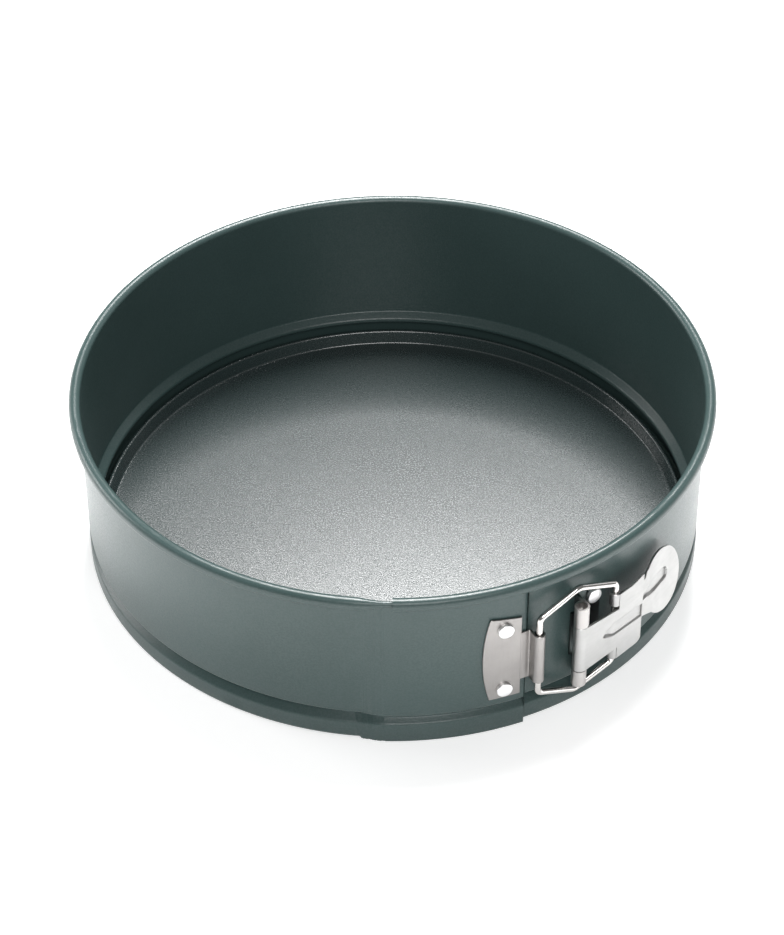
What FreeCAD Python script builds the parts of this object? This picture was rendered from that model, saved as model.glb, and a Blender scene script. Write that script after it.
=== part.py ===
"""Springform cake pan: a split ring with a toggle clasp, and a loose base."""
import FreeCAD, Part
import math
import os

# ---------------------------------------------------------------------------
# Driving dimensions, in millimetres and degrees.  The origin is on the pan's
# axis in the plane it stands on, +Z is up, and azimuths run from +X to +Y.
# ---------------------------------------------------------------------------
inner_radius = 125.0        # inside of the wall: a 25 cm pan
sheet = 0.7                 # steel of the ring and of the base
pan_height = 75.0           # top of the rolled rim
rim_width = 4.6             # rolled rim, across
skirt_flare = 0.2           # the foot of the ring stands this much further out

crest_radius = 121.6        # innermost point of the ridge that holds the base
crest_height = 10.9
groove_top = 14.0
groove_bottom = 8.0
seat_radius = 121.1         # upturned edge that the base's lip sits over
seat_height = 4.4

# The strip's ends overlap at the front; the outer end is set out over the inner.
inner_end = -90.2
outer_end = -66.9
setout_start = -97.0
setout_end = -91.2
setout = 1.2
nested_rim_width = 2.2

# The ring flexes mostly at its two sides, where it is divided into three.
left_flex = 186.0
right_flex = 6.0

floor_radius = 118.7        # centre line of the corner between floor and wall
lip_radius = 120.4
lip_height = 5.8
lip_bead = 0.85

clasp_middle = 37.6         # height of the clasp's centre line
plate = 0.9                 # steel of the clasp's pressed parts
running = 0.05              # radial clearance of a turning fit
wire_radius = 1.3

catch_pivot = (130.9, -65.3)        # radius and azimuth of the catch plate's barrel
lever_pivot = (133.3, -57.95)       # ... of the lever's hinge pin
bail_pivot = (131.2, -50.1)         # ... of the bail's leg in the lever

catch_left = -74.8
catch_right = -67.9
catch_low = 17.3
catch_high_left = 59.8
catch_high_right = 57.4
catch_edge_bow = 2.8
barrel_low = 24.9
barrel_high = 49.2
barrel_play = 0.15
catch_rivet_azimuth = -70.9
bracket_rivet_azimuth = -53.4
rivet_half_spacing = 15.4
rivet_shank = 1.9
rivet_head = 3.2
rivet_head_height = 1.6

bail_left_half = 19.3
bail_peak_half = 26.6
bail_right_half = 20.1
bail_bend = 3.0
bail_end_gap = 0.3

pin_radius = 1.95
knuckle_radius = 2.9
bracket_top = 57.8
lever_knuckle = (25.5, 48.2)
bracket_bottom = 17.6
knuckle_gap = 0.2
bracket_back = (26.5, 48.0)

lever_angle = 44.0          # the way the shut lever points, from +X
lever_length = 31.9
lever_low = 19.6
lever_high = 53.6
lever_high_end = 55.2       # the top edge rises towards the tab
curl_play = 0.06
curl_height = 6.2
dimple = 0.4                # depth of the pressed reliefs
tab_angle = 57.0
tab_lean = 11.0             # the tab's top leans in towards the wall
tab_radius = 13.4
tab_reach = 14.3            # from the lever's end to the tab's middle
tab_step = 0.5
tab_middle = 41.5

X_AXIS = FreeCAD.Vector(1, 0, 0)
Y_AXIS = FreeCAD.Vector(0, 1, 0)
Z_AXIS = FreeCAD.Vector(0, 0, 1)
ORIGIN = FreeCAD.Vector(0, 0, 0)


# ---------------------------------------------------------------------------
# Sections of bent sheet
# ---------------------------------------------------------------------------
def flat(x, y):
    """A point of a section, drawn in the XY plane."""
    return FreeCAD.Vector(x, y, 0)


def shifted_route(route, distance):
    """An open run of straight lines moved to its left, with mitred corners."""
    points = [flat(*point) for point in route]
    headings = [(b - a).normalize() for a, b in zip(points, points[1:])]
    normals = [flat(-heading.y, heading.x) for heading in headings]
    moved = [points[0] + normals[0] * distance]
    for corner, before, after in zip(points[1:-1], normals, normals[1:]):
        mitre = (before + after).normalize()
        moved.append(corner + mitre * (distance / mitre.dot(before)))
    moved.append(points[-1] + normals[-1] * distance)
    return [(point.x, point.y) for point in moved]


def turns_left(route, index):
    """Whether the route turns left at its corner of this index."""
    before = flat(*route[index]) - flat(*route[index - 1])
    after = flat(*route[index + 1]) - flat(*route[index])
    return before.cross(after).z > 0


def rounded_edges(route, bends):
    """Lines and arcs along a route whose corners have the given radii."""
    points = [flat(*point) for point in route]
    edges = []
    start = points[0]
    for before, corner, after, bend in zip(points, points[1:], points[2:], bends):
        arrive = (corner - before).normalize()
        leave = (after - corner).normalize()
        half_turn = arrive.getAngle(leave) / 2
        cut = bend * math.tan(half_turn)
        inward = (leave - arrive).normalize()
        middle = corner + inward * (bend * (1 / math.cos(half_turn) - 1))
        if (corner - arrive * cut - start).Length > 1e-4:
            edges.append(Part.LineSegment(start, corner - arrive * cut).toShape())
        edges.append(Part.Arc(corner - arrive * cut, middle, corner + leave * cut).toShape())
        start = corner + leave * cut
    if (points[-1] - start).Length > 1e-4:
        edges.append(Part.LineSegment(start, points[-1]).toShape())
    return edges


def sheet_section(route, bends, thickness):
    """The face of a bent sheet whose middle line is the route."""
    half = thickness / 2
    sides = []
    for side in (1, -1):
        radii = []
        for index, bend in enumerate(bends, start=1):
            inside = turns_left(route, index) == (side == 1)
            radii.append(bend - half if inside else bend + half)
        sides.append(rounded_edges(shifted_route(route, side * half), radii))
    starts = [shifted_route(route, side * half)[0] for side in (1, -1)]
    ends = [shifted_route(route, side * half)[-1] for side in (1, -1)]
    caps = [
        Part.LineSegment(flat(*starts[0]), flat(*starts[1])).toShape(),
        Part.LineSegment(flat(*ends[0]), flat(*ends[1])).toShape(),
    ]
    wire = Part.Wire(Part.__sortEdges__(sides[0] + sides[1] + caps))
    return Part.Face(wire)


def stand_up(shape, azimuth):
    """Turn a section drawn as (radius, height) up into the plane of an azimuth."""
    upright = shape.copy()
    upright.rotate(ORIGIN, X_AXIS, 90)
    upright.rotate(ORIGIN, Z_AXIS, azimuth)
    return upright


def turned(section, first, last):
    """Sweep a section round the pan's axis from one azimuth to another."""
    return stand_up(section, first).revolve(ORIGIN, Z_AXIS, last - first)


def at(radius, azimuth, height=0.0):
    """A point from its radius, azimuth and height."""
    angle = math.radians(azimuth)
    return FreeCAD.Vector(radius * math.cos(angle), radius * math.sin(angle), height)


def standing_cylinder(radius, centre, low, high):
    """A vertical cylinder between two heights."""
    base = FreeCAD.Vector(centre.x, centre.y, low)
    return Part.makeCylinder(radius, high - low, base, Z_AXIS)


def standing_tube(outer, inner, centre, low, high):
    """A vertical tube between two heights."""
    solid = standing_cylinder(outer, centre, low, high)
    return solid.cut(standing_cylinder(inner, centre, low - 1, high + 1))


def ring_sector(inner, outer, low, high, first, last):
    """A curved plate that follows the wall."""
    section = Part.makePlane(outer - inner, high - low, flat(inner, low))
    return turned(section, first, last)


def polygon(corners):
    """A flat face with straight sides."""
    return Part.Face(Part.makePolygon([flat(*corner) for corner in corners + corners[:1]]))


def radial_prism(outline, azimuth, inner, outer):
    """An outline, drawn as (along the wall, height), pushed through radially."""
    face = outline.copy()
    face.rotate(ORIGIN, X_AXIS, 90)
    face.rotate(ORIGIN, Z_AXIS, azimuth + 90)
    face.translate(at(inner, azimuth))
    return face.extrude(at(outer, azimuth) - at(inner, azimuth))


# ---------------------------------------------------------------------------
# The ring
# ---------------------------------------------------------------------------
wall_line = inner_radius + sheet / 2
skirt_line = wall_line + skirt_flare
crest_bend = 1.2
flank_slope = math.atan2(crest_height - groove_bottom, skirt_line - crest_radius)
crest_line = crest_radius + sheet / 2 - crest_bend * (1 / math.sin(flank_slope) - 1)


def wall_route(outward):
    """Middle line of the ring's sheet from the foot to the rim, set out by a distance."""
    lower = [
        (skirt_line, 0.0),
        (skirt_line, groove_bottom),
        (crest_line, crest_height),
        (wall_line, groove_top),
        (wall_line, pan_height),
    ]
    return shifted_route(lower, -outward)


def ring_section(outward=0.0, rim=rim_width):
    """Section of the ring without its inturned foot."""
    route = wall_route(outward)
    rim_line = rim - sheet
    wall = route[-1][0]
    middle = pan_height - rim_width / 2
    top = middle + rim_line / 2
    route[-1] = (wall, top)
    route += [
        (wall + rim_line, top),
        (wall + rim_line, middle - rim_line * 0.42),
        (wall + rim_line * 0.55, middle - rim_line * 0.62),
    ]
    roll = rim_line / 2
    bends = [1.0, crest_bend, 1.6, roll, roll, max(roll * 0.45, 0.45)]
    return sheet_section(route, bends, sheet)


def foot_section():
    """Section of the inturned foot, which ends in the seat under the base's lip."""
    route = [
        (skirt_line, 2.5),
        (skirt_line, sheet / 2),
        (seat_radius, sheet / 2),
        (seat_radius, seat_height),
    ]
    return sheet_section(route, [1.3, 1.0], sheet)


def ring_with_foot(first, last):
    """A stretch of the ring with its foot turned in."""
    open_ring = turned(ring_section(), first, last)
    corner = ring_sector(skirt_line - 2, skirt_line + 1, -1, 2.4, first, last)
    return open_ring.cut(corner).fuse(turned(foot_section(), first, last))


def outer_strip():
    """The left side of the ring and the end that laps over the outside."""
    near = ring_with_foot(left_flex, 360 + setout_start)
    start = stand_up(ring_section(), setout_start).OuterWire
    end = stand_up(ring_section(setout, nested_rim_width), setout_end).OuterWire
    slope = Part.makeLoft([start, end], True, True)
    lap = turned(ring_section(setout, nested_rim_width), setout_end, outer_end)
    strip = near.fuse([slope, lap])
    for height in rivet_heights():
        strip = strip.cut(rivet_hole(catch_rivet_azimuth, height))
    return strip.removeSplitter()


def inner_strip():
    """The right side of the ring, whose end lies inside the lap."""
    strip = ring_with_foot(inner_end, right_flex)
    for height in rivet_heights():
        strip = strip.cut(rivet_hole(bracket_rivet_azimuth, height))
    return strip.removeSplitter()


# ---------------------------------------------------------------------------
# The base
# ---------------------------------------------------------------------------
def base_plate():
    """Shallow dish: a flat floor, a sloping wall and a rolled lip."""
    route = [(0.0, sheet / 2), (floor_radius, sheet / 2), (lip_radius, lip_height)]
    dish = turned(sheet_section(route, [1.2], sheet), 0, 360)
    bead = Part.makeTorus(lip_radius, lip_bead, FreeCAD.Vector(0, 0, lip_height))
    return dish.fuse(bead).removeSplitter()


# ---------------------------------------------------------------------------
# Rivets
# ---------------------------------------------------------------------------
def rivet_heights():
    """Heights of the upper and the lower rivet of a pair."""
    return clasp_middle + rivet_half_spacing, clasp_middle - rivet_half_spacing


def rivet_hole(azimuth, height):
    """Cutter for a rivet's hole."""
    start = at(inner_radius - 3, azimuth, height)
    return Part.makeCylinder(rivet_shank, 12, start, at(1, azimuth))


def rivet(azimuth, height, tail_radius, head_radius, tail_head):
    """A rivet from its tail inside the wall to the top of its flat head."""
    along = at(1, azimuth)
    tail = at(tail_radius, azimuth, height)
    shank = Part.makeCylinder(rivet_shank, head_radius - tail_radius + 0.5, tail, along)
    seat = at(head_radius, azimuth, height)
    head = Part.makeCylinder(rivet_head, rivet_head_height, seat, along)
    rim = [edge for edge in head.Edges if (edge.CenterOfMass - seat).dot(along) > 1]
    head = head.makeChamfer(0.35, [edge for edge in rim if edge.Closed])
    body = shank.fuse(head)
    if tail_head:
        button = Part.makeCylinder(rivet_head - 0.4, 0.6, tail - along * 0.6, along)
        body = body.fuse(button)
    return body.removeSplitter()


# ---------------------------------------------------------------------------
# The catch plate, on the outer end of the strip
# ---------------------------------------------------------------------------
def catch_plate():
    """Riveted plate with a bowed left edge and a barrel for the bail's wire."""
    inner = inner_radius + sheet + setout
    tall = ring_sector(inner, inner + plate, catch_low, catch_high_left, catch_left - 1, catch_right)
    reach = math.radians(catch_right - catch_left) * inner
    half_chord = (catch_high_left - catch_low) / 2
    bow = (half_chord ** 2 + catch_edge_bow ** 2) / (2 * catch_edge_bow)
    disc = Part.Face(Part.Wire(Part.makeCircle(bow, flat(bow, catch_low + half_chord))))
    fall = (catch_high_left - catch_high_right) / (reach - catch_edge_bow)
    blank = polygon([
        (-1, catch_low - 1),
        (reach + 2, catch_low - 1),
        (reach + 2, catch_high_right - 2 * fall),
        (-1, catch_high_left - 0.2 + fall * (catch_edge_bow + 1)),
    ])
    outline = disc.common(blank)
    sheet_body = tall.common(radial_prism(outline, catch_left, inner - 4, inner + 6))

    pivot = at(*catch_pivot)
    bore = wire_radius + barrel_play
    barrel = standing_tube(bore + plate, bore, pivot, barrel_low, barrel_high)
    middle = inner + plate / 2 + 0.03
    root = at(middle, catch_right - 0.6)
    heel = at(middle, catch_right + 0.9)
    toe = pivot - at(bore + plate / 2, catch_pivot[1] - 38)
    step = at(inner + 2.6, catch_right + 1.3)
    route = [(point.x, point.y) for point in (root, heel, step, toe)]
    tongue = sheet_section(route, [0.7, 0.7], plate)
    tongue.translate(FreeCAD.Vector(0, 0, barrel_low + 0.3))
    tongue = tongue.extrude(FreeCAD.Vector(0, 0, barrel_high - barrel_low - 0.6))
    tongue = tongue.cut(standing_cylinder(bore + plate / 2, pivot, 0, pan_height))
    body = sheet_body.fuse([tongue, barrel])
    for height in rivet_heights():
        body = body.cut(rivet_hole(catch_rivet_azimuth, height))
    return body.removeSplitter()


# ---------------------------------------------------------------------------
# The bail
# ---------------------------------------------------------------------------
def bail():
    """Six-sided wire loop, open where its ends meet the catch plate's barrel."""
    left = at(*catch_pivot)
    right = at(*bail_pivot)
    across = right - left
    width = across.Length
    top_end = barrel_high + bail_end_gap
    low_end = barrel_low - bail_end_gap
    route = [
        (0.0, top_end),
        (0.0, clasp_middle + bail_left_half),
        (width / 2, clasp_middle + bail_peak_half),
        (width, clasp_middle + bail_right_half),
        (width, clasp_middle - bail_right_half),
        (width / 2, clasp_middle - bail_peak_half),
        (0.0, clasp_middle - bail_left_half),
        (0.0, low_end),
    ]
    path = Part.Wire(rounded_edges(route, [bail_bend] * 6))
    path.rotate(ORIGIN, X_AXIS, 90)
    path.rotate(ORIGIN, Z_AXIS, math.degrees(math.atan2(across.y, across.x)))
    path.translate(left)
    start = left + Z_AXIS * top_end
    section = Part.Wire(Part.makeCircle(wire_radius, start, Z_AXIS))
    return path.makePipeShell([section], True, False, 2)


# ---------------------------------------------------------------------------
# The lever, its bracket and its pin.  They are drawn about the hinge pin, with
# x along the shut lever and y away from the pan.
# ---------------------------------------------------------------------------
def to_clasp(shape, angle=lever_angle):
    """Move a shape drawn about the hinge pin to its place."""
    placed = shape.copy()
    placed.rotate(ORIGIN, Z_AXIS, angle)
    placed.translate(at(*lever_pivot))
    return placed


def in_lever_frame(point):
    """The lever's own x and y of a point of the pan."""
    arm = point - at(*lever_pivot)
    along = at(1, lever_angle)
    outward = at(1, lever_angle - 90)
    return arm.dot(along), arm.dot(outward)


def pressed_plate(outline, relief):
    """A plate from its outline, drawn as (x, height), with a relief pressed into its outer face."""
    upright = outline.copy()
    upright.rotate(ORIGIN, X_AXIS, 90)
    upright.translate(FreeCAD.Vector(0, -knuckle_radius + plate, 0))
    body = upright.extrude(Y_AXIS * -plate)
    mark = relief.copy()
    mark.rotate(ORIGIN, X_AXIS, 90)
    mark.translate(FreeCAD.Vector(0, -knuckle_radius, 0))
    body = body.fuse(mark.extrude(Y_AXIS * (plate + dimple)))
    return body.cut(mark.extrude(Y_AXIS * dimple))


def lever():
    """Thumb lever: knuckle, neck, wide part with two curls, and a round tab."""
    hinge_bore = pin_radius + running
    knuckle = standing_tube(knuckle_radius, hinge_bore, ORIGIN, *lever_knuckle)
    curl_x, curl_out = in_lever_frame(at(*bail_pivot))
    curl_centre = FreeCAD.Vector(curl_x, -curl_out, 0)
    corner_cut = 2.5
    outline = polygon([
        (0, lever_knuckle[0]),
        (curl_x, lever_knuckle[0]),
        (curl_x, lever_low),
        (lever_length - corner_cut, lever_low + 0.4),
        (lever_length, lever_low + 0.4 + corner_cut),
        (lever_length, lever_high_end),
        (curl_x + 6, lever_high),
        (curl_x, lever_high),
        (curl_x, lever_knuckle[1] - 2.2),
        (0, lever_knuckle[1]),
    ])
    relief = polygon([
        (9.8, 36.7),
        (18.7, 40.1),
        (lever_length - 0.8, 40.1),
        (lever_length - 0.8, 33.3),
        (18.7, 33.3),
    ])
    pieces = [pressed_plate(outline, relief)]
    hole = wire_radius + curl_play
    curl_radius = hole + plate
    for bottom in (lever_low, lever_high - curl_height):
        pieces.append(standing_tube(curl_radius, hole, curl_centre, bottom, bottom + curl_height))
    body = knuckle.fuse(pieces)
    body = body.cut(standing_cylinder(hinge_bore, ORIGIN, 0, pan_height))
    body = body.cut(standing_cylinder(hole, curl_centre, 0, pan_height))
    return to_clasp(body.fuse(thumb_tab()))


def thumb_tab():
    """Round tab that carries on from the lever, turned towards the wall and leaning in."""
    disc = Part.Face(Part.Wire(Part.makeCircle(tab_radius, flat(tab_reach, 0))))
    neck = polygon([(-0.2, -7.0), (tab_reach * 0.6, -9.0), (tab_reach * 0.6, 11.0), (-0.2, 11.0)])
    ahead = polygon([(-0.2, -30), (60, -30), (60, 30), (-0.2, 30)])
    outline = disc.fuse(neck).removeSplitter().Faces[0].common(ahead)
    relief = polygon([(3.0, -1.0), (5.5, 2.6), (15.0, 4.6), (16.5, 2.6), (15.0, 0.6)])
    tab = pressed_plate(outline, relief)
    tab.rotate(FreeCAD.Vector(0, -knuckle_radius, 0), X_AXIS, -tab_lean)
    tab.rotate(FreeCAD.Vector(0, -knuckle_radius, 0), Z_AXIS, tab_angle - lever_angle)
    tab.translate(FreeCAD.Vector(lever_length, -tab_step, tab_middle))
    return tab


def lever_bracket():
    """Riveted bracket with a knuckle above and one below the lever's."""
    inner = inner_radius + sheet
    pivot = at(*lever_pivot)
    web_azimuth = lever_pivot[1] + math.degrees((knuckle_radius - plate / 2) / lever_pivot[0])
    ear = rivet_head + 0.5
    heights = rivet_heights()
    web_start = web_azimuth - 0.2
    web_end = web_azimuth + 2.0
    foot = ring_sector(inner, inner + plate, bracket_bottom, bracket_top, web_start, web_end)
    back = ring_sector(inner, inner + plate, *bracket_back, web_azimuth - 1.0, bracket_rivet_azimuth + 1.6)
    pieces = [back]
    for height in heights:
        outline = Part.Face(Part.Wire(Part.makeCircle(ear, flat(0, height))))
        disc = radial_prism(outline, bracket_rivet_azimuth, inner - 2, inner + 3)
        pieces.append(disc.common(ring_sector(inner, inner + plate, 10, 65, -60, -45)))
        low, high = sorted((height, clasp_middle))
        pieces.append(ring_sector(inner, inner + plate, low, high,
                                  bracket_rivet_azimuth - 1.2, bracket_rivet_azimuth + 1.2))
    knuckles = (
        (lever_knuckle[1] + knuckle_gap, bracket_top),
        (bracket_bottom, lever_knuckle[0] - knuckle_gap),
    )
    web_inner = inner + plate / 2
    web_outer = lever_pivot[0]
    for low, high in knuckles:
        pieces.append(standing_tube(knuckle_radius, pin_radius + running, pivot, low, high))
        web = Part.makeBox(web_outer - web_inner, plate, high - low)
        web.rotate(ORIGIN, Z_AXIS, web_azimuth)
        web.translate(at(web_inner, web_azimuth, low) - at(plate / 2, web_azimuth + 90))
        pieces.append(web)
    body = foot.fuse(pieces)
    body = body.cut(standing_cylinder(pin_radius + running, pivot, 0, 80))
    for height in heights:
        body = body.cut(rivet_hole(bracket_rivet_azimuth, height))
    return body.removeSplitter()


def hinge_pin():
    """Pin through the bracket's and the lever's knuckles."""
    return standing_cylinder(pin_radius, at(*lever_pivot), bracket_bottom + 0.6, bracket_top - 3.5)


# ---------------------------------------------------------------------------
# Every piece, each in a file of its own
# ---------------------------------------------------------------------------
def main():
    """Build the pieces and write one STEP file for each."""
    upper, lower = rivet_heights()
    catch_tail = inner_radius + setout
    catch_face = inner_radius + sheet + setout + plate
    bracket_tail = inner_radius - 0.04
    bracket_face = inner_radius + sheet + plate
    pieces = {
        "band_back": ring_with_foot(right_flex, left_flex).removeSplitter(),
        "band_left": outer_strip(),
        "band_right": inner_strip(),
        "base_plate": base_plate(),
        "catch_plate": catch_plate(),
        "catch_rivet_upper": rivet(catch_rivet_azimuth, upper, catch_tail, catch_face, False),
        "catch_rivet_lower": rivet(catch_rivet_azimuth, lower, catch_tail, catch_face, False),
        "bail": bail(),
        "lever": lever(),
        "lever_bracket": lever_bracket(),
        "bracket_rivet_upper": rivet(bracket_rivet_azimuth, upper, bracket_tail, bracket_face, True),
        "bracket_rivet_lower": rivet(bracket_rivet_azimuth, lower, bracket_tail, bracket_face, True),
        "hinge_pin": hinge_pin(),
    }
    os.makedirs("parts", exist_ok=True)
    for name, shape in pieces.items():
        print(name, shape.ShapeType, len(shape.Solids), shape.isValid(), round(shape.Volume, 1))
        shape.exportStep("parts/" + name + ".step")


main()
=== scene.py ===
"""The looks of a springform cake pan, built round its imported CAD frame.

Lengths are millimetres until a mesh is made, when Blender gets metres.  The
studio at the end is in metres throughout.
"""
import math

import bpy
from mathutils import Matrix, Vector


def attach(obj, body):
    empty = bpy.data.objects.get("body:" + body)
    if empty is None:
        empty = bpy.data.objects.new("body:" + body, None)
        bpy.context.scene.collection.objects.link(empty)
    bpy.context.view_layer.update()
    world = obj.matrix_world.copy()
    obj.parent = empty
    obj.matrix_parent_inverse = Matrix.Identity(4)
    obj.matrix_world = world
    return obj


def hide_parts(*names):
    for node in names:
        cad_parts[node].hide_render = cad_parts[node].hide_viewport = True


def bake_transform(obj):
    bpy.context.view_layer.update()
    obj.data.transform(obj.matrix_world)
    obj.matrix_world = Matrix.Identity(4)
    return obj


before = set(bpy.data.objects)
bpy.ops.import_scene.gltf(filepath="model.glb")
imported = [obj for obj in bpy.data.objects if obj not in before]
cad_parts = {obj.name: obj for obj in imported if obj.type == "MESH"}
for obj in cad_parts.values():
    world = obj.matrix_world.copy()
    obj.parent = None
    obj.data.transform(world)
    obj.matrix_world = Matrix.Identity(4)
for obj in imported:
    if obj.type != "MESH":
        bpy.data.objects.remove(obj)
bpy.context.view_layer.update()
MM = 0.001

# ---------------------------------------------------------------------------
# Dimensions, as in the CAD source
# ---------------------------------------------------------------------------
INNER_RADIUS = 125.0
SHEET = 0.7
PAN_HEIGHT = 75.0
RIM_WIDTH = 4.6
WALL_LINE = INNER_RADIUS + SHEET / 2
SKIRT_LINE = WALL_LINE + 0.2
CREST_HEIGHT = 10.9
CREST_RADIUS = 121.6        # inside of the ridge above the base
CREST_BEND = 1.2
GROOVE_TOP = 14.0
GROOVE_BOTTOM = 8.0
SEAT_RADIUS = 121.1
SEAT_HEIGHT = 4.4
SETOUT = 1.2
NESTED_RIM = 2.2
INNER_END = -90.2
OUTER_END = -66.9
SETOUT_START = -97.0
SETOUT_END = -91.2
SEAM = 90.0

PLATE = 0.9
CATCH_PIVOT = (130.9, -65.3)
LEVER_PIVOT = (133.3, -57.95)
BAIL_PIVOT = (131.2, -50.1)
WIRE_RADIUS = 1.3
CLASP_MIDDLE = 37.6
KNUCKLE_RADIUS = 2.9
LEVER_ANGLE = 44.0
LEVER_LENGTH = 31.9
LEVER_KNUCKLE = (25.5, 48.2)
TAB_ANGLE = 57.0
TAB_LEAN = 11.0
TAB_RADIUS = 13.4
TAB_REACH = 14.3
TAB_STEP = 0.5
TAB_MIDDLE = 41.5
CURL_HOLE = WIRE_RADIUS + 0.06
CURL_HEIGHT = 6.2
LEVER_LOW = 19.6
LEVER_HIGH = 53.6
LEVER_HIGH_END = 55.2

EDGE = 0.17                 # broken edge of the clasp's steel
SKIN = 0.02                 # keeps two faces of one piece out of one plane


def at(radius, azimuth):
    """A point in plan from its radius and azimuth."""
    return Vector((radius * math.cos(math.radians(azimuth)), radius * math.sin(math.radians(azimuth))))


def mix(a, b, share):
    return a + (b - a) * share


def ease(value, start=0.0, end=1.0):
    """0 before start, 1 after end, and smooth between them."""
    share = min(1.0, max(0.0, (value - start) / (end - start)))
    return share * share * (3 - 2 * share)


# ---------------------------------------------------------------------------
# Mesh tools
# ---------------------------------------------------------------------------
def make_object(name, points, faces, material, body=None, sharp=38):
    """A smooth-shaded mesh object from points in millimetres."""
    mesh = bpy.data.meshes.new(name)
    mesh.from_pydata([[c * MM for c in point] for point in points], [], faces)
    mesh.validate()
    mesh.shade_smooth()
    mesh.set_sharp_from_angle(angle=math.radians(sharp))
    mesh.materials.append(material)
    made = bpy.data.objects.new(name, mesh)
    bpy.context.scene.collection.objects.link(made)
    if body:
        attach(made, body)
    return made


def rounded_line(route, bends, samples=7):
    """Points and left-hand normals along a plan line whose corners are rounded."""
    route = [Vector(point) for point in route]
    points, normals = [route[0]], [left_of(route[1] - route[0])]
    for before, corner, after, bend in zip(route, route[1:], route[2:], bends):
        arrive = (corner - before).normalized()
        leave = (after - corner).normalized()
        turn = math.atan2(arrive.cross(leave), arrive.dot(leave))
        side = 1 if turn > 0 else -1
        start = corner - arrive * bend * math.tan(abs(turn) / 2)
        centre = start + left_of(arrive) * bend * side
        for step in range(samples):
            angle = turn * step / (samples - 1)
            normal = left_of(Matrix.Rotation(angle, 2) @ arrive)
            point = centre - normal * bend * side
            if (point - points[-1]).length > 1e-6:
                points.append(point)
                normals.append(normal)
    points.append(route[-1])
    normals.append(left_of(route[-1] - route[-2]))
    return points, normals


def left_of(direction):
    return Vector((-direction.y, direction.x)).normalized()


def section_loop(points, normals, thickness):
    """Closed outline of a sheet: its left side forwards, then its right side back."""
    left = [point + normal * thickness / 2 for point, normal in zip(points, normals)]
    right = [point - normal * thickness / 2 for point, normal in zip(points, normals)]
    return left + right[::-1]


def band_faces(rows, size):
    """Quads between successive closed rows of points."""
    faces = []
    for row in range(rows - 1):
        here, there = row * size, (row + 1) * size
        for i in range(size):
            j = (i + 1) % size
            faces.append((here + i, here + j, there + j, there + i))
    return faces


def strip_faces(rows, size):
    """Faces of a swept sheet, whose section's two sides are joined across at each end."""
    faces = band_faces(rows, size)
    last = (rows - 1) * size
    for i in range(size // 2 - 1):
        faces.append((i, size - 1 - i, size - 2 - i, i + 1))
        faces.append((last + i, last + i + 1, last + size - 2 - i, last + size - 1 - i))
    return faces


def tube_faces(rows, size):
    """Faces of a swept rod, with a flat cap at each end."""
    faces = band_faces(rows, size)
    last = (rows - 1) * size
    faces.append(tuple(range(size))[::-1])
    faces.append(tuple(last + i for i in range(size)))
    return faces


def lathe(name, azimuths, loop_at, material):
    """Sweep a section, which may change on the way, round the pan's axis."""
    points, size = [], 0
    for azimuth in azimuths:
        loop = loop_at(azimuth)
        size = len(loop)
        for radius, height in loop:
            flat = at(radius, azimuth)
            points.append((flat.x, flat.y, height))
    return make_object(name, points, strip_faces(len(azimuths), size), material)


# ---------------------------------------------------------------------------
# Materials
# ---------------------------------------------------------------------------
def new_material(name):
    material = bpy.data.materials.new(name)
    material.use_nodes = True
    nodes = material.node_tree.nodes
    return material, nodes, material.node_tree.links, nodes["Principled BSDF"]


def noise(nodes, links, scale, detail, stretch=(1, 1, 1), roughness=0.55):
    """Noise in the object's own metres."""
    place = nodes.new("ShaderNodeTexCoord")
    shape = nodes.new("ShaderNodeMapping")
    shape.inputs["Scale"].default_value = stretch
    texture = nodes.new("ShaderNodeTexNoise")
    texture.inputs["Scale"].default_value = scale
    texture.inputs["Detail"].default_value = detail
    texture.inputs["Roughness"].default_value = roughness
    links.new(place.outputs["Object"], shape.inputs["Vector"])
    links.new(shape.outputs["Vector"], texture.inputs["Vector"])
    return texture.outputs["Fac"]


def remap(nodes, links, value, low, high, start=0.3, end=0.7):
    spread = nodes.new("ShaderNodeMapRange")
    spread.inputs["From Min"].default_value = start
    spread.inputs["From Max"].default_value = end
    spread.inputs["To Min"].default_value = low
    spread.inputs["To Max"].default_value = high
    links.new(value, spread.inputs["Value"])
    return spread.outputs["Result"]


def ramp(nodes, links, value, first, second, start=0.3, end=0.7):
    colours = nodes.new("ShaderNodeValToRGB")
    colours.color_ramp.elements[0].position = start
    colours.color_ramp.elements[0].color = (*first, 1)
    colours.color_ramp.elements[1].position = end
    colours.color_ramp.elements[1].color = (*second, 1)
    links.new(value, colours.inputs["Fac"])
    return colours.outputs["Color"]


def bump(nodes, links, shader, layers):
    """Stack bump layers of (height, strength, distance in metres) on a shader."""
    below = None
    for height, strength, distance in layers:
        layer = nodes.new("ShaderNodeBump")
        layer.inputs["Strength"].default_value = strength
        layer.inputs["Distance"].default_value = distance
        links.new(height, layer.inputs["Height"])
        if below:
            links.new(below, layer.inputs["Normal"])
        below = layer.outputs["Normal"]
    links.new(below, shader.inputs["Normal"])


def coating(name, dark, light, rough, peel, ior, sparkle):
    """Dark non-stick coating: satin, with a fine orange-peel surface."""
    material, nodes, links, shader = new_material(name)
    fine = noise(nodes, links, 1500, 3)
    broad = noise(nodes, links, 14, 4)
    specks = noise(nodes, links, 1300, 2)
    tint = ramp(nodes, links, specks, (sparkle,) * 3, (1, 1, 1), 0.40, 0.60)
    links.new(tint, shader.inputs["Specular Tint"])
    links.new(ramp(nodes, links, broad, dark, light), shader.inputs["Base Color"])
    links.new(remap(nodes, links, fine, rough - 0.05, rough + 0.06), shader.inputs["Roughness"])
    shader.inputs["Metallic"].default_value = 0.0
    shader.inputs["IOR"].default_value = ior
    bump(nodes, links, shader, [(fine, peel, 0.0004), (specks, peel * 0.5, 0.0001)])
    return material


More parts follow.
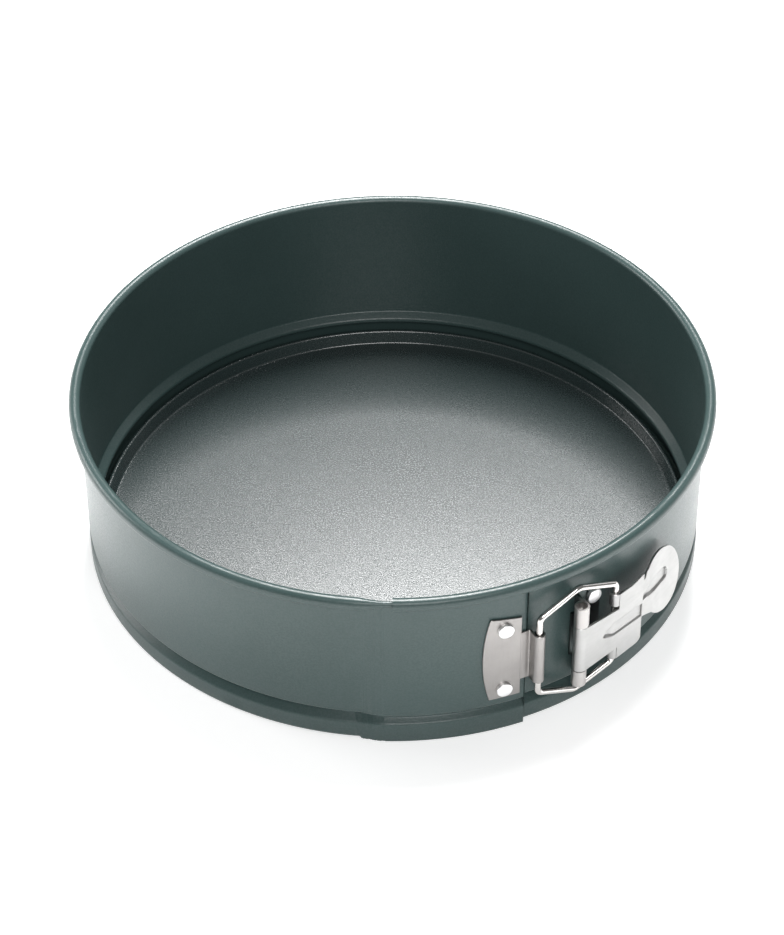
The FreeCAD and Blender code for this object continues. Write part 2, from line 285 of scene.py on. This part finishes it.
def bright_steel(name, tone, rough, grain, stretch):
    """Nickel-plated steel with faint drawn or rolled grain."""
    material, nodes, links, shader = new_material(name)
    lines = noise(nodes, links, 900, 3, stretch)
    cloud = noise(nodes, links, 120, 3)
    shade = tuple(c * 0.9 for c in tone)
    links.new(ramp(nodes, links, cloud, shade, tone), shader.inputs["Base Color"])
    links.new(remap(nodes, links, lines, rough - 0.05, rough + 0.07), shader.inputs["Roughness"])
    shader.inputs["Metallic"].default_value = 1.0
    bump(nodes, links, shader, [(lines, grain, 0.00003)])
    return material


coat = coating("slate_coating", (0.033, 0.058, 0.056), (0.041, 0.069, 0.067),
               rough=0.33, peel=0.12, ior=1.5, sparkle=0.72)
floor_coat = coating("slate_coating_floor", (0.016, 0.027, 0.027), (0.022, 0.034, 0.034),
                     rough=0.25, peel=0.08, ior=1.95, sparkle=0.78)
pressed = bright_steel("pressed_steel", (0.34, 0.327, 0.318), rough=0.36, grain=0.2, stretch=(1, 1, 0.12))
rolled = bright_steel("bright_plate", (0.43, 0.43, 0.425), rough=0.37, grain=0.06, stretch=(0.2, 0.2, 1))
drawn = bright_steel("drawn_wire", (0.70, 0.68, 0.66), rough=0.15, grain=0.10, stretch=(1, 1, 0.05))
polished = bright_steel("rivet_steel", (0.90, 0.90, 0.90), rough=0.42, grain=0.10, stretch=(1, 1, 1))


# ---------------------------------------------------------------------------
# Ring
# ---------------------------------------------------------------------------
FLANK = math.atan2(CREST_HEIGHT - GROOVE_BOTTOM, SKIRT_LINE - CREST_RADIUS)
CREST_LINE = CREST_RADIUS + SHEET / 2 - CREST_BEND * (1 / math.sin(FLANK) - 1)
STRAIGHT_FOOT = 1.65        # where the foot's bend meets the skirt
KEPT_FOOT = 0.17            # share of the foot's length that is left where it is unbent


def shifted(route, distance):
    """A line of corners moved to its right."""
    route = [Vector(point) for point in route]
    sides = [-left_of(b - a) for a, b in zip(route, route[1:])]
    moved = [route[0] + sides[0] * distance]
    for corner, before, after in zip(route[1:-1], sides, sides[1:]):
        mitre = (before + after).normalized()
        moved.append(corner + mitre * distance / mitre.dot(before))
    moved.append(route[-1] + sides[-1] * distance)
    return moved


def wall_corners(out, bead):
    """Corners of the skirt, ridge, wall and rolled rim, from the foot up."""
    corners = shifted([
        (SKIRT_LINE, STRAIGHT_FOOT),
        (SKIRT_LINE, GROOVE_BOTTOM),
        (CREST_LINE, CREST_HEIGHT),
        (WALL_LINE, GROOVE_TOP),
        (WALL_LINE, PAN_HEIGHT),
    ], out)
    middle = PAN_HEIGHT - RIM_WIDTH / 2
    wall = corners[-1].x
    corners[-1] = Vector((wall, middle + bead))
    return corners + [
        Vector((wall + 2 * bead, middle + bead)),
        Vector((wall + 2 * bead, middle - 0.84 * bead)),
        Vector((wall + 1.1 * bead, middle - 1.24 * bead)),
    ]


def bent_foot(out):
    """The foot from the skirt inwards: points, normals and the distance at each point."""
    line, normals = rounded_line([
        (SEAT_RADIUS, SEAT_HEIGHT),
        (SEAT_RADIUS, SHEET / 2),
        (SKIRT_LINE + out, SHEET / 2),
        (SKIRT_LINE + out, STRAIGHT_FOOT + 0.001),
    ], [1.0, 1.3], 7)
    line, normals = line[::-1], normals[::-1]
    marks = [0.0]
    for a, b in zip(line, line[1:]):
        marks.append(marks[-1] + (b - a).length)
    return line, normals, marks


def foot_section(out, unbent):
    """Points and normals of the foot, from its free edge to the skirt, unbent by a share."""
    line, normals, marks = bent_foot(out)
    count, whole = len(line), marks[-1]
    kept = mix(1.0, KEPT_FOOT, unbent) * whole
    foot, foot_normals = [], []
    for mark in marks[1:]:
        want = kept * mark / whole
        index = max(i for i in range(count) if marks[i] <= want + 1e-9)
        index = min(index, count - 2)
        share = (want - marks[index]) / (marks[index + 1] - marks[index])
        bent = mix(line[index], line[index + 1], share)
        bent_normal = mix(normals[index], normals[index + 1], share).normalized()
        straight = Vector((SKIRT_LINE + out, STRAIGHT_FOOT * (1 - mark / whole)))
        foot.append(mix(bent, straight, unbent))
        foot_normals.append(mix(bent_normal, Vector((-1, 0)), unbent).normalized())
    return foot[::-1], foot_normals[::-1]


def ring_loop(out, rim, unbent):
    """Section of the ring: set out by out, with a rim this wide and its foot unbent by a share."""
    bead = (rim - SHEET) / 2
    tip_bend = max(bead * 0.45, 0.45)
    bends = [1.0, CREST_BEND, 1.6, bead, bead, tip_bend]
    points, normals = rounded_line(wall_corners(out, bead), bends, 9)
    foot, foot_normals = foot_section(out, unbent)
    return section_loop(foot + points, foot_normals + normals, SHEET)


def left_loop(azimuth):
    """Section of the left end, which steps out over the right end at the lap."""
    if azimuth > 0:
        azimuth -= 360
    share = ease(azimuth, SETOUT_START, SETOUT_END)
    unbent = ease(azimuth, SETOUT_START, SETOUT_START + 1.6)
    return ring_loop(SETOUT * share, mix(RIM_WIDTH, NESTED_RIM, share), unbent)


def spread(start, end, step):
    count = max(1, round(abs(end - start) / step))
    return [start + (end - start) * i / count for i in range(count + 1)]


NEAR_SEAM = 0.06
right_azimuths = spread(INNER_END, SEAM - NEAR_SEAM, 1.2) + [SEAM]
left_azimuths = [SEAM] + spread(SEAM + NEAR_SEAM, 360 + SETOUT_START, 1.2)
left_azimuths += spread(360 + SETOUT_START, 360 + SETOUT_END, 0.2)[1:]
left_azimuths += spread(360 + SETOUT_END, 360 + OUTER_END, 1.0)[1:]

plain_loop = ring_loop(0.0, RIM_WIDTH, 0.0)
ring_right = lathe("ring_right", right_azimuths, lambda azimuth: plain_loop, coat)
ring_left = lathe("ring_left", left_azimuths, left_loop, coat)
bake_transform(ring_right)
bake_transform(ring_left)
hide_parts("band_right", "band_back")
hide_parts("band_left", "band_back")


# ---------------------------------------------------------------------------
# Base
# ---------------------------------------------------------------------------
FLAT_RADII = (0.4, 30, 60, 85, 105, 114)
DISH_RADIUS = 118.7         # where the flat turns up
LIP_INNER = 119.9
LIP_OUTER = 120.9
LIP_TOP = 6.3
LIP_END = 5.35
BASE_TURNS = 240


def base_loop():
    """Section of the base, from near its middle out to the end of its lip and back."""
    line, normals = rounded_line([
        (0.0, SHEET / 2),
        (DISH_RADIUS, SHEET / 2),
        (LIP_INNER, LIP_TOP),
        (LIP_OUTER, LIP_TOP),
        (LIP_OUTER, LIP_END),
    ], [1.2, 0.5, 0.5], 8)
    inner = [Vector((radius, SHEET / 2)) for radius in FLAT_RADII]
    return section_loop(inner + line[1:], [Vector((0, 1))] * len(inner) + normals[1:], SHEET)


def make_base():
    """Dish with a rolled lip; its two faces close at the middle."""
    section = base_loop()
    size = len(section)
    points, faces = [], []
    for step in range(BASE_TURNS):
        for radius, height in section:
            flat = at(radius, 360 * step / BASE_TURNS)
            points.append((flat.x, flat.y, height))
    for row in range(BASE_TURNS):
        here, there = row * size, (row + 1) % BASE_TURNS * size
        for i in range(size - 1):
            faces.append((here + i, there + i, there + i + 1, here + i + 1))
    faces.append(tuple(row * size for row in range(BASE_TURNS))[::-1])
    faces.append(tuple(row * size + size - 1 for row in range(BASE_TURNS)))
    made = make_object("base", points, faces, floor_coat, "base")
    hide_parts("base_plate")


make_base()


# ---------------------------------------------------------------------------
# Sheets of the clasp
# ---------------------------------------------------------------------------
def patch(points, faces, across, up, place, thickness=PLATE):
    """Add a closed sheet made of a grid.  place gives a point from (across, up, offset)."""
    start = len(points)
    columns, rows = len(across), len(up)
    for sign in (1, -1):
        for i in range(columns):
            for j in range(rows):
                rim = i in (0, columns - 1) or j in (0, rows - 1)
                offset = sign * (thickness / 2 - (EDGE if rim else 0))
                points.append(place(across[i], up[j], offset))

    def index(sign, i, j):
        return start + (0 if sign > 0 else columns * rows) + i * rows + j

    for i in range(columns - 1):
        for j in range(rows - 1):
            faces.append((index(1, i, j), index(1, i + 1, j),
                          index(1, i + 1, j + 1), index(1, i, j + 1)))
            faces.append((index(-1, i, j), index(-1, i, j + 1),
                          index(-1, i + 1, j + 1), index(-1, i + 1, j)))
    ring = [(i, 0) for i in range(columns)]
    ring += [(columns - 1, j) for j in range(1, rows)]
    ring += [(i, rows - 1) for i in range(columns - 2, -1, -1)]
    ring += [(0, j) for j in range(rows - 2, 0, -1)]
    for a, b in zip(ring, ring[1:] + ring[:1]):
        faces.append((index(-1, *a), index(-1, *b), index(1, *b), index(1, *a)))


def share_list(length, step):
    """Shares from 0 to 1 whose first and last spans are as wide as the broken edge."""
    count = max(2, round(length / step))
    inner = spread(EDGE / length, 1 - EDGE / length, 1.0 / count)
    return [0.0] + inner + [1.0]


class Track:
    """A plan line with a point and an outward normal at every distance along it."""

    def __init__(self, points, normals):
        self.points, self.normals = points, normals
        self.marks = [0.0]
        for a, b in zip(points, points[1:]):
            self.marks.append(self.marks[-1] + (b - a).length)
        self.length = self.marks[-1]

    def __call__(self, distance):
        index = 0
        while index < len(self.marks) - 2 and self.marks[index + 1] < distance:
            index += 1
        span = self.marks[index + 1] - self.marks[index]
        share = (distance - self.marks[index]) / span
        point = mix(self.points[index], self.points[index + 1], share)
        normal = mix(self.normals[index], self.normals[index + 1], share).normalized()
        return point, normal


def roll(centre, radius, start, turn, step=10):
    """Points and outward normals on an arc, from an angle through a signed turn."""
    points, normals = [], []
    for angle in spread(start, start + turn, step):
        direction = at(1, angle)
        points.append(centre + direction * radius)
        normals.append(direction)
    return points, normals


def as_is(x, y, z):
    return x, y, z


def rolled_strip(points, faces, track, heights, steps, to_pan=as_is, thickness=PLATE):
    """Add a strip of sheet that follows a track between two heights."""
    low, high = heights
    along, tall = steps

    def place(across, up, offset):
        flat, normal = track(across * track.length)
        spot = flat + normal * offset
        return to_pan(spot.x, spot.y, mix(low, high, up))

    columns, rows = share_list(track.length, along), share_list(high - low, tall)
    patch(points, faces, columns, rows, place, thickness)


# Catch plate ---------------------------------------------------------------
CATCH_LEFT = -74.8
CATCH_RIGHT = -67.9
CATCH_LOW = 17.3
CATCH_HIGH_LEFT = 59.6
CATCH_HIGH_RIGHT = 57.2
CATCH_BOW = 2.8
CATCH_FACE = INNER_RADIUS + SHEET + SETOUT
CATCH_LINE = CATCH_FACE + PLATE / 2
BARREL = (24.9, 49.2)
BARREL_SLACK = 0.15
BARREL_WRAP = 300
TONGUE_ROOT = 6.2           # how far left of the barrel's middle the tongue begins


def add_catch_wall(points, faces):
    """The plate on the wall, bowed at its left edge and lower at its right end."""
    reach = math.radians(CATCH_RIGHT - CATCH_LEFT) * CATCH_LINE
    half = (CATCH_HIGH_LEFT - CATCH_LOW) / 2
    bow = (half ** 2 + CATCH_BOW ** 2) / (2 * CATCH_BOW)

    def place(across, up, offset):
        away = mix(CATCH_LOW, CATCH_HIGH_LEFT, up) - (CATCH_LOW + half)
        left = bow - math.sqrt(bow ** 2 - away ** 2)
        along = mix(left, reach, across)
        height = mix(CATCH_LOW, mix(CATCH_HIGH_LEFT, CATCH_HIGH_RIGHT, along / reach), up)
        flat = at(CATCH_LINE + offset, CATCH_LEFT + math.degrees(along / CATCH_LINE))
        return flat.x, flat.y, height

    patch(points, faces, share_list(reach, 0.8), share_list(2 * half, 1.0), place)


def add_catch_tongue(points, faces):
    """The tongue that leaves the plate and rolls outwards into the bail's barrel."""
    pivot = at(*CATCH_PIVOT)
    tangent = at(1, CATCH_PIVOT[1] + 90)
    outward = at(1, CATCH_PIVOT[1])
    turn = WIRE_RADIUS + BARREL_SLACK + PLATE / 2

    def local(along, out):
        return pivot + tangent * along + outward * out

    base = CATCH_LINE - CATCH_PIVOT[0]
    route = [local(-TONGUE_ROOT, base + SKIN), local(-turn, base), local(-turn, 0)]
    line, lefts = rounded_line(route, [0.9], 9)
    curl, curl_normals = roll(pivot, turn, CATCH_PIVOT[1] + 270, BARREL_WRAP)
    track = Track(line + curl[1:], [-left for left in lefts] + curl_normals[1:])
    rolled_strip(points, faces, track, BARREL, (0.35, 3.0), thickness=PLATE - SKIN)


def make_catch_plate():
    points, faces = [], []
    add_catch_wall(points, faces)
    add_catch_tongue(points, faces)
    made = make_object("catch", points, faces, pressed, "band_left")
    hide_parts("catch_plate")


make_catch_plate()


# Bail ----------------------------------------------------------------------
BAIL_HALVES = (19.3, 26.6, 20.1)        # half heights at the catch, the middle and the lever
BAIL_IN_BARREL = 7.0
BAIL_TURNS = 24


def bail_corners(width):
    """Corners of the wire loop, from one end in the barrel round to the other."""
    places = list(zip((0, width / 2, width), BAIL_HALVES))
    corners = [(0, BARREL[1] - BAIL_IN_BARREL)]
    corners += [(x, CLASP_MIDDLE + half) for x, half in places]
    corners += [(x, CLASP_MIDDLE - half) for x, half in reversed(places)]
    corners.append((0, BARREL[0] + BAIL_IN_BARREL))
    return corners


def make_bail():
    """Six-sided wire loop whose two ends run into the catch plate's barrel."""
    left, right = at(*CATCH_PIVOT), at(*BAIL_PIVOT)
    across = right - left
    along = across.normalized()
    side_way = Vector((along.y, -along.x, 0))
    line, normals = rounded_line(bail_corners(across.length), [3.0, 3.6, 3.0, 3.0, 3.6, 3.0], 10)
    points = []
    for point, normal in zip(line, normals):
        centre = Vector((*(left + along * point.x), point.y))
        up = Vector((along.x * normal.x, along.y * normal.x, normal.y))
        for step in range(BAIL_TURNS):
            angle = 2 * math.pi * step / BAIL_TURNS
            points.append(centre + (up * math.cos(angle) + side_way * math.sin(angle)) * WIRE_RADIUS)
    made = make_object("wire_bail", points, tube_faces(len(line), BAIL_TURNS), drawn, "bail")
    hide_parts("bail")


make_bail()


# Lever ---------------------------------------------------------------------
LEVER_BEND = KNUCKLE_RADIUS - PLATE / 2
LEVER_CORNER = 2.8
GROOVE_BAND = (32.8, 40.6)              # heights where the plate's grid is finest
GROOVE_MIDDLE = 36.7
TO_CURL = at(*BAIL_PIVOT) - at(*LEVER_PIVOT)
CURL_X = TO_CURL.dot(at(1, LEVER_ANGLE))
CURL_Y = TO_CURL.dot(at(1, LEVER_ANGLE + 90))
NECK_ABOVE = 10.8
NECK_BELOW = 8.8


def from_lever(x, y, z):
    """A point of the pan from the lever's own x, y (towards the pan) and height."""
    flat = at(*LEVER_PIVOT) + at(x, LEVER_ANGLE) + at(y, LEVER_ANGLE + 90)
    return flat.x, flat.y, z


def lever_relief(x, z, inner):
    """How far the plate's pressed groove sinks on its inner or outer face, in millimetres."""
    nose, full, end = 9.6, 16.0, 33.5
    if not nose < x < end:
        return 0.0
    half = 3.6 * min(1.0, (x - nose) / (full - nose)) ** 0.75 + 0.01
    walls = 1 - ease(abs(z - GROOVE_MIDDLE) / half, 0.66, 1.0)
    # The bail's leg runs just behind the plate, so the groove is shallow there.
    behind_wire = ease(x, 12.6, 16.8)
    depth = mix(1.6, 0.22 if inner else 0.78, behind_wire)
    depth *= ease(x, nose, nose + 1.8)
    return depth * walls


def tab_relief(x, z):
    """How far the pressed groove of the tab sinks; x and z from the tab's middle."""
    start, end = -14.4, 4.2
    centre, widest = 1.8, 2.9
    half = widest * (0.55 + 0.45 * ease(x, start, -6.0))
    if x > end - widest:
        reach = min(1.0, (x - end + widest) / widest)
        half *= math.sqrt(max(0.0, 1 - reach * reach)) + 1e-3
    walls = 1 - ease(abs(z - centre) / half, 0.6, 1.0) if start < x < end else 0.0
    return mix(1.3, 0.8, ease(x, start, -2.0)) * walls


def plate_limits(x):
    """Lowest and highest point of the lever's plate at this x."""
    low, high = LEVER_KNUCKLE
    if x < CURL_X:
        return low, mix(high, high - 2.2, max(0.0, x) / CURL_X)
    bottom = mix(LEVER_LOW, LEVER_LOW + 0.6, (x - CURL_X) / (LEVER_LENGTH - CURL_X))
    into = x - (LEVER_LENGTH - LEVER_CORNER)
    if into > 0:
        bottom += LEVER_CORNER - math.sqrt(max(0.0, LEVER_CORNER ** 2 - into ** 2))
    top = mix(LEVER_HIGH, LEVER_HIGH_END, ease(x, CURL_X + 5, LEVER_LENGTH + 3) * 1.3)
    return bottom, min(top, LEVER_HIGH_END)


def plate_height(x, up):
    """Height at a share of the plate's rows, four tenths of which lie in the groove's band."""
    bottom, top = plate_limits(x)
    band_low, band_high = GROOVE_BAND
    if up < 0.3:
        return mix(bottom, band_low, up / 0.3)
    if up < 0.7:
        return mix(band_low, band_high, (up - 0.3) / 0.4)
    return mix(band_high, top, (up - 0.7) / 0.3)


def add_knuckle(points, faces):
    """The lever's near end, wrapped round the hinge pin."""
    track = Track(*roll(Vector((0, 0)), LEVER_BEND, -15, 285))
    rolled_strip(points, faces, track, LEVER_KNUCKLE, (0.4, 3.0), from_lever)


def add_plate(points, faces):
    """The flat of the lever, with its pressed groove."""
    columns = [-0.3, -0.3 + EDGE] + spread(0.3, CURL_X - SKIN, 0.45)
    columns += spread(CURL_X, LEVER_LENGTH - 3, 0.45)
    columns += spread(LEVER_LENGTH - LEVER_CORNER, LEVER_LENGTH - EDGE, 0.2)
    columns += [LEVER_LENGTH]

    def place(x, up, out):
        z = plate_height(x, up)
        return from_lever(x, -LEVER_BEND + lever_relief(x, z, out < 0) - out, z)

    patch(points, faces, columns, share_list(30.0, 0.45), place)


def add_curls(points, faces):
    """The two curls that hold the bail, one near each end of the lever's height."""
    curl, curl_normals = roll(Vector((CURL_X, CURL_Y)), CURL_HOLE + PLATE / 2, -90, -285)
    entry = Vector((CURL_X + 2.2, -LEVER_BEND))
    track = Track([entry] + curl, [Vector((0, -1))] + curl_normals)
    for low in (LEVER_LOW, LEVER_HIGH - CURL_HEIGHT):
        heights = (low, low + CURL_HEIGHT)
        rolled_strip(points, faces, track, heights, (0.35, 1.5), from_lever, PLATE - SKIN)


def tab_place(x, z, out):
    """A point of the tab: x and z from its middle, out away from the pan."""
    lean = math.radians(TAB_LEAN) * ease(x, -TAB_REACH, -TAB_REACH + 6)
    turned = math.radians(TAB_ANGLE - LEVER_ANGLE)
    sunk = tab_relief(x, z) - out
    y = sunk * math.cos(lean) + z * math.sin(lean)
    height = z * math.cos(lean) - sunk * math.sin(lean)
    along = x + TAB_REACH
    lever_x = along * math.cos(turned) - y * math.sin(turned)
    inward = along * math.sin(turned) + y * math.cos(turned)
    step = TAB_STEP * ease(x, -TAB_REACH, -TAB_REACH + 5)
    return from_lever(LEVER_LENGTH + lever_x, -LEVER_BEND - step + inward, TAB_MIDDLE + height)


def tab_outline(angle):
    """Distance from the tab's middle to its edge: round, with a neck towards the lever."""
    c, s = math.cos(angle), math.sin(angle)
    if c >= 0:
        return TAB_RADIUS
    neck = (NECK_ABOVE if s > 0 else NECK_BELOW) / max(1e-6, abs(s))
    return max(TAB_RADIUS, min((TAB_REACH + 0.25) / -c, neck))


def disc_faces(start, rings, turns):
    """Faces of a two-sided disc made of rings of points, whose two middles come last."""
    half, outer = rings * turns, rings - 1
    faces = []

    def index(sign, ring, step):
        return start + (0 if sign > 0 else half) + ring * turns + step % turns

    for step in range(turns):
        faces.append((start + 2 * half, index(1, 0, step), index(1, 0, step + 1)))
        faces.append((start + 2 * half + 1, index(-1, 0, step + 1), index(-1, 0, step)))
        for ring in range(outer):
            faces.append((index(1, ring, step), index(1, ring + 1, step),
                          index(1, ring + 1, step + 1), index(1, ring, step + 1)))
            faces.append((index(-1, ring, step), index(-1, ring, step + 1),
                          index(-1, ring + 1, step + 1), index(-1, ring + 1, step)))
        faces.append((index(1, outer, step), index(-1, outer, step),
                      index(-1, outer, step + 1), index(1, outer, step + 1)))
    return faces


def add_tab(points, faces):
    """The round tab: rings about its middle on both faces."""
    turns = 144
    rings = spread(0.035, 1 - EDGE / TAB_RADIUS, 0.035) + [1.0]
    start = len(points)
    for sign in (1, -1):
        for ring in rings:
            offset = sign * (PLATE / 2 - (EDGE if ring == 1.0 else 0))
            for step in range(turns):
                angle = 2 * math.pi * step / turns
                away = tab_outline(angle) * ring
                points.append(tab_place(away * math.cos(angle), away * math.sin(angle), offset))
    points.append(tab_place(0, 0, PLATE / 2))
    points.append(tab_place(0, 0, -PLATE / 2))
    faces += disc_faces(start, len(rings), turns)


def make_lever():
    points, faces = [], []
    add_knuckle(points, faces)
    add_plate(points, faces)
    add_curls(points, faces)
    add_tab(points, faces)
    made = make_object("thumb_lever", points, faces, rolled, "lever", 34)
    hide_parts("lever")


make_lever()


# Rivets --------------------------------------------------------------------
RIVET_AZIMUTH = {"catch": -70.9, "bracket": -53.4}
RIVET_SPACING = 15.4
RIVET_TURNS = 40
SHANK_RADIUS = 1.9
HEAD_RADIUS = 3.2
HEAD_EDGE = 0.4             # rounding of the head's rim
HEAD_SIDE = 1.1             # height of the head's side below that rounding


def rivet_tail(side):
    """Where the head is seated, and (place, radius) pairs of the tail inside the wall."""
    if side == "catch":
        return CATCH_FACE + PLATE, [(INNER_RADIUS + SETOUT - 0.04, 1.75)]
    tail = INNER_RADIUS - 0.64
    pairs = [(tail, 2.1), (tail + 0.06, 2.5), (tail + 0.3, 2.78), (tail + 0.6, 2.8)]
    return INNER_RADIUS + SHEET + PLATE, pairs + [(tail + 0.61, SHANK_RADIUS)]


def rivet_profile(side):
    """(place, radius) pairs along the whole rivet, from its tail to its head."""
    seat, profile = rivet_tail(side)
    side_top, round_radius = seat + HEAD_SIDE, HEAD_RADIUS - HEAD_EDGE
    profile += [(seat - SKIN, SHANK_RADIUS), (seat, 3.1), (seat + 0.08, HEAD_RADIUS)]
    profile.append((side_top, HEAD_RADIUS))
    for angle in (0.4, 0.8, 1.2):
        along = side_top + HEAD_EDGE * math.sin(angle)
        profile.append((along, round_radius + HEAD_EDGE * math.cos(angle)))
    return profile + [(seat + 1.52, 2.6), (seat + 1.56, 1.8), (seat + 1.59, 0.9)]


def make_rivet(side, place, body):
    """A flat-headed rivet, turned about its radial axis."""
    profile = rivet_profile(side)
    height = CLASP_MIDDLE + (RIVET_SPACING if place == "upper" else -RIVET_SPACING)
    axis, across = at(1, RIVET_AZIMUTH[side]), at(1, RIVET_AZIMUTH[side] + 90)
    points = []
    for along, radius in profile:
        for step in range(RIVET_TURNS):
            angle = 2 * math.pi * step / RIVET_TURNS
            flat = axis * along + across * radius * math.cos(angle)
            points.append((flat.x, flat.y, height + radius * math.sin(angle)))
    name = side + "_rivet_" + place
    made = make_object(name + "_head", points, tube_faces(len(profile), RIVET_TURNS), polished, body, 40)
    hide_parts(name)


for place in ("upper", "lower"):
    make_rivet("catch", place, "band_left")
    make_rivet("bracket", place, "band_right")


# Bracket and pin, carried over from the CAD ---------------------------------
# Painted shade: the bracket's steel is painted dark where it lies against the wall, standing in for the
# shadow and dark reflections there.
PAINTED_SHADE_RADIUS = 0.1280        # metres from the pan's axis; inside this the bracket has the full painted shade
BRIGHT_RADIUS = 0.1302
PAINTED_SHADE_TONE = (0.07, 0.085, 0.083)
BRIGHT_TONE = (0.46, 0.445, 0.435)


def painted_shade_steel():
    """Steel with painted shade, dark where the bracket lies on the wall, and the steel's own bright tone
    at its knuckles.
    """
    material, nodes, links, shader = new_material("bracket_steel_with_painted_shade")
    place = nodes.new("ShaderNodeTexCoord")
    flat = nodes.new("ShaderNodeVectorMath")
    flat.operation = "MULTIPLY"
    flat.inputs[1].default_value = (1, 1, 0)
    reach = nodes.new("ShaderNodeVectorMath")
    reach.operation = "LENGTH"
    links.new(place.outputs["Object"], flat.inputs[0])
    links.new(flat.outputs["Vector"], reach.inputs[0])
    # Painted shade: the colour goes from the dark painted-shade tone to the steel's bright tone with
    # distance from the pan's axis.
    out = remap(nodes, links, reach.outputs["Value"], 0.0, 1.0, PAINTED_SHADE_RADIUS, BRIGHT_RADIUS)
    grain = noise(nodes, links, 900, 3, (1, 1, 0.12))
    tone = ramp(nodes, links, out, PAINTED_SHADE_TONE, BRIGHT_TONE, 0.0, 1.0)
    links.new(tone, shader.inputs["Base Color"])
    links.new(remap(nodes, links, grain, 0.30, 0.42), shader.inputs["Roughness"])
    shader.inputs["Metallic"].default_value = 1.0
    bump(nodes, links, shader, [(grain, 0.2, 0.00003)])
    return material


bracket_steel_with_painted_shade = painted_shade_steel()
# The bracket gets the steel with painted shade on its part against the wall.
CARRIED = {"lever_bracket": bracket_steel_with_painted_shade, "hinge_pin": drawn}
for name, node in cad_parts.items():
    node.data.materials.clear()
    node.data.materials.append(CARRIED.get(name, pressed))


# ---------------------------------------------------------------------------
# Studio
# ---------------------------------------------------------------------------
PITCH = 0.712309            # radians; the camera looks down by this much
YAW = -0.000422
ROLL = -0.004752
LENS = 109.02               # millimetres, on a sensor 36 mm wide
CAMERA_PLACE = (0, -0.8814, 0.7903)
FLOOR_REACH = 8.0
FLOOR_DROP = 0.0004         # the floor lies just under the pan, so that they share no plane


def make_camera():
    level = math.cos(PITCH)
    forward = Vector((math.sin(YAW) * level, math.cos(YAW) * level, -math.sin(PITCH)))
    right = forward.cross(Vector((0, 0, 1))).normalized()
    up = right.cross(forward)
    across = math.cos(ROLL) * right + math.sin(ROLL) * up
    above = math.cos(ROLL) * up - math.sin(ROLL) * right
    data = bpy.data.cameras.new("camera")
    data.sensor_width = 36
    data.lens = LENS
    data.clip_start = 0.05
    data.clip_end = 20
    camera = bpy.data.objects.new("camera", data)
    turn = Matrix((across, above, -forward)).transposed().to_4x4()
    camera.matrix_world = Matrix.Translation(CAMERA_PLACE) @ turn
    bpy.context.scene.collection.objects.link(camera)
    bpy.context.scene.camera = camera


def softbox(name, place, size, radiance):
    """A rectangular soft light of a given brightness, aimed at the pan."""
    data = bpy.data.lights.new(name, "AREA")
    data.shape = "RECTANGLE"
    data.size, data.size_y = size
    data.energy = radiance * math.pi * size[0] * size[1]
    lamp = bpy.data.objects.new(name, data)
    lamp.location = place
    lamp.rotation_mode = "QUATERNION"
    lamp.rotation_quaternion = (-Vector(place)).to_track_quat("-Z", "Y")
    bpy.context.scene.collection.objects.link(lamp)


def make_world():
    """White surroundings, bright at the horizon and dimmer above it."""
    world = bpy.data.worlds.new("studio")
    bpy.context.scene.world = world
    world.use_nodes = True
    nodes, links = world.node_tree.nodes, world.node_tree.links
    background = nodes["Background"]
    background.inputs["Color"].default_value = (1, 1, 1, 1)
    direction = nodes.new("ShaderNodeTexCoord")
    parts = nodes.new("ShaderNodeSeparateXYZ")
    links.new(direction.outputs["Generated"], parts.inputs["Vector"])
    strength = remap(nodes, links, parts.outputs["Z"], 1.0, 0.22, 0.03, 0.09)
    links.new(strength, background.inputs["Strength"])


def make_floor():
    """A plain pale floor."""
    mesh = bpy.data.meshes.new("floor")
    far, low = FLOOR_REACH, -FLOOR_DROP
    corners = [(-far, -far, low), (far, -far, low), (far, far, low), (-far, far, low)]
    mesh.from_pydata(corners, [], [(0, 1, 2, 3)])
    ground = bpy.data.objects.new("floor", mesh)
    material, nodes, links, shader = new_material("pale_floor")
    shader.inputs["Base Color"].default_value = (0.82, 0.82, 0.82, 1)
    shader.inputs["Roughness"].default_value = 0.9
    shader.inputs["Emission Color"].default_value = (1, 1, 1, 1)
    shader.inputs["Emission Strength"].default_value = 0.45
    mesh.materials.append(material)
    bpy.context.scene.collection.objects.link(ground)


def make_studio():
    make_world()
    softbox("back_box", (0.08, 0.80, 1.66), (0.52, 0.90), 47.0)
    softbox("left_box", (-1.5, 0.5, 0.6), (0.8, 0.7), 7.5)
    softbox("right_box", (1.5, 0.75, 0.7), (0.5, 0.8), 1.2)
    softbox("front_box", (0.2, -1.55, 1.4), (1.1, 0.8), 7.2)
    make_floor()
    bpy.context.scene.view_settings.view_transform = "Standard"


make_camera()
make_studio()
